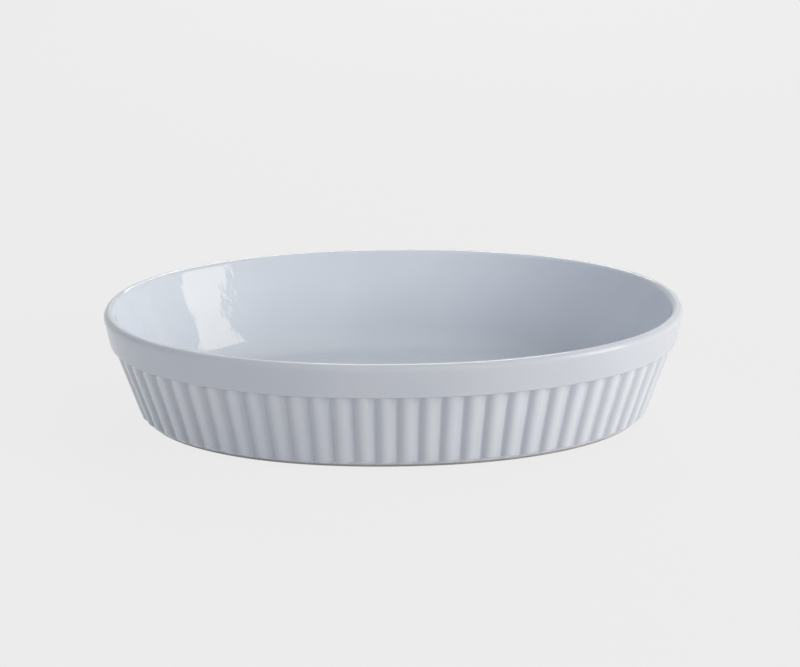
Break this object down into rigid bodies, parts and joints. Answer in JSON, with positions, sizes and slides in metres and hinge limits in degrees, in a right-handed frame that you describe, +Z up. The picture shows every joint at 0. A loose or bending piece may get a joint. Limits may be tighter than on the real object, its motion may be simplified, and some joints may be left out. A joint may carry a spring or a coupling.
{
  "type": "oval baking dish",
  "caption": "shallow oval baking dish in glazed stoneware, with a plain rim band over a reeded leaning wall and a bare foot ring",
  "frame": {"origin": "on the table, under the middle of the dish", "axes": "+X along the dish's length, +Y across it, +Z up through its open mouth"},
  "size_m": [0.28, 0.2, 0.055],
  "materials": {
    "bare_clay": "fired stoneware, bare and slightly rough",
    "inside_glaze": "glossy cool white glaze",
    "outside_glaze": "glossy cool white glaze",
    "underside_glaze": "glossy cool white glaze"
  },
  "bodies": {
    "root": {"stoneware_body": "bare_clay", "inside_glaze": "inside_glaze", "outside_glaze": "outside_glaze", "underside_glaze": "underside_glaze"}
  },
  "joints": []
}
